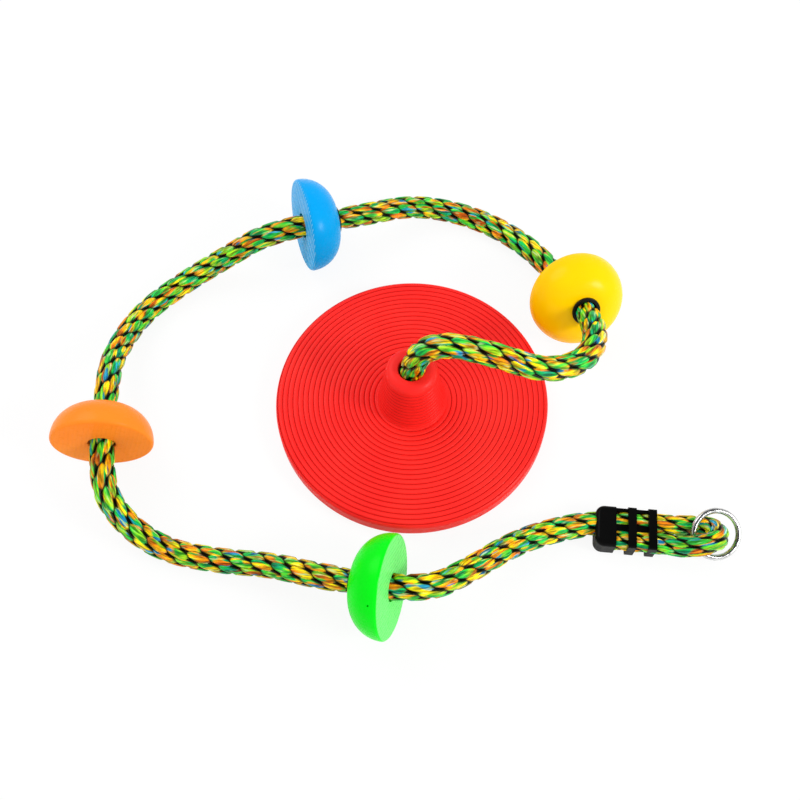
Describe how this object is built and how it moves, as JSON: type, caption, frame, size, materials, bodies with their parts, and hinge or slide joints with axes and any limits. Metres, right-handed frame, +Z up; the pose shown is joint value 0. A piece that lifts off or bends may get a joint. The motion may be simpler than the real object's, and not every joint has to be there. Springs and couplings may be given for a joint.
{
  "type": "climbing rope disc swing",
  "caption": "Rope swing with a round red disc seat and tall hub, a plaited rope carrying coloured half-dome foot platforms, a black rope clamp and a steel hanging ring.",
  "frame": {"origin": "middle of the base of the box round the rigid pieces, on the floor that the swing lies on", "axes": "+Z up from the floor; +X along the longest side, towards the hanging ring; +Y away from the clamp's side"},
  "size_m": [0.6945, 0.5228, 0.1495],
  "materials": {
    "seat_red": "smooth moulded red, satin gloss",
    "platform_yellow": "smooth blown plastic, satin gloss",
    "platform_blue": "smooth blown plastic, satin gloss",
    "platform_orange": "smooth blown plastic, satin gloss",
    "platform_green": "smooth blown plastic, satin gloss",
    "rope_plait": "plaited filament strands in green, teal, yellow and orange",
    "collet_black": "moulded black, semi-matte",
    "clamp_black": "moulded black, glossy",
    "zinc_steel": "bright zinc-plated steel"
  },
  "bodies": {
    "rope": {"rope": "rope_plait", "seat_knot": "rope_plait", "collet_yellow_a": "collet_black", "collet_yellow_b": "collet_black", "collet_blue_a": "collet_black", "collet_blue_b": "collet_black", "collet_orange_a": "collet_black", "collet_orange_b": "collet_black", "collet_green_a": "collet_black", "collet_green_b": "collet_black", "clamp_cap": "clamp_black", "clamp_base": "clamp_black"},
    "seat": {"seat_disc": "seat_red", "seat_washer": "zinc_steel"},
    "platform_yellow": {"platform_yellow": "platform_yellow"},
    "platform_blue": {"platform_blue": "platform_blue"},
    "platform_orange": {"platform_orange": "platform_orange"},
    "platform_green": {"platform_green": "platform_green"},
    "ring": {"hanging_ring": "zinc_steel"}
  },
  "joints": [
    {"name": "seat_turn", "type": "hinge", "parent": "rope", "child": "seat", "pos_m": [0.0212, 0.0047, 0.0577], "axis": [0, 0, 1], "continuous": true},
    {"name": "platform_yellow_turn", "type": "hinge", "parent": "rope", "child": "platform_yellow", "pos_m": [0.20712, 0.08886, 0.05692], "axis": [0.1566, -0.8131, 0.5606], "continuous": true},
    {"name": "platform_blue_turn", "type": "hinge", "parent": "rope", "child": "platform_blue", "pos_m": [-0.06859, 0.21577, 0.04757], "axis": [0.9497, 0.2741, -0.1513], "continuous": true},
    {"name": "platform_orange_turn", "type": "hinge", "parent": "rope", "child": "platform_orange", "pos_m": [-0.29618, -0.02471, 0.05102], "axis": [-0.0209, 0.9997, -0.0157], "continuous": true},
    {"name": "platform_green_turn", "type": "hinge", "parent": "rope", "child": "platform_green", "pos_m": [-0.02985, -0.20372, 0.04651], "axis": [-0.9549, 0.2275, -0.1908], "continuous": true},
    {"name": "ring_swing", "type": "hinge", "parent": "rope", "child": "ring", "pos_m": [0.2992, -0.1645, 0.0168], "axis": [0.3399, -0.8338, -0.4349], "range_deg": [0, 80]}
  ]
}
